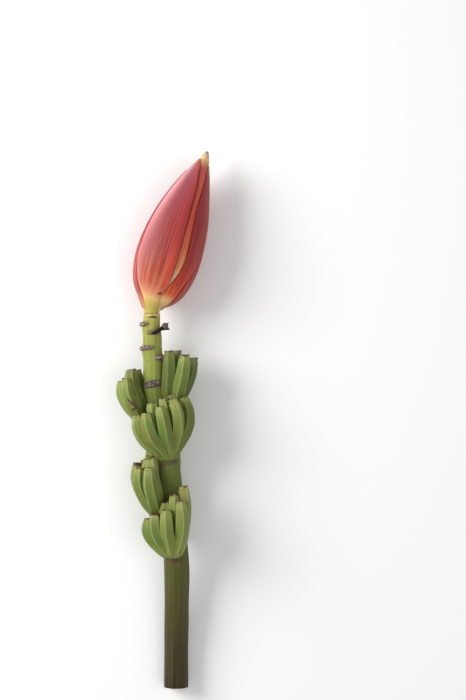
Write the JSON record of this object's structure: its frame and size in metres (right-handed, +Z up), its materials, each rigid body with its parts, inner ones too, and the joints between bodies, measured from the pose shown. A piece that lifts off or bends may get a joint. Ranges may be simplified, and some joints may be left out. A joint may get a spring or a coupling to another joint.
{
  "type": "banana blossom",
  "caption": "Cut banana blossom lying down: curved stalk with hands of small green fruit, scarred neck and closed red bud of overlapping bracts.",
  "frame": {"origin": "middle of the bounding box, on the surface that it lies on", "axes": "+Y runs from the cut end to the bud's tip, +Z is up from the surface, +X is to the right of the stem seen from above"},
  "size_m": [0.1224, 0.701, 0.0953],
  "materials": {
    "bract": "satin",
    "inner_bract": "satin",
    "fruit": "satin",
    "stalk": "satin"
  },
  "bodies": {
    "root": {"stem": "stalk", "inner_bud": "inner_bract", "bract_front": "bract", "bract_right": "bract", "bract_back": "bract", "hand_1": "fruit", "hand_2": "fruit", "hand_3": "fruit", "hand_4": "fruit", "hand_5": "fruit", "hand_6": "fruit", "hand_7": "fruit", "hand_8": "fruit"}
  },
  "joints": []
}
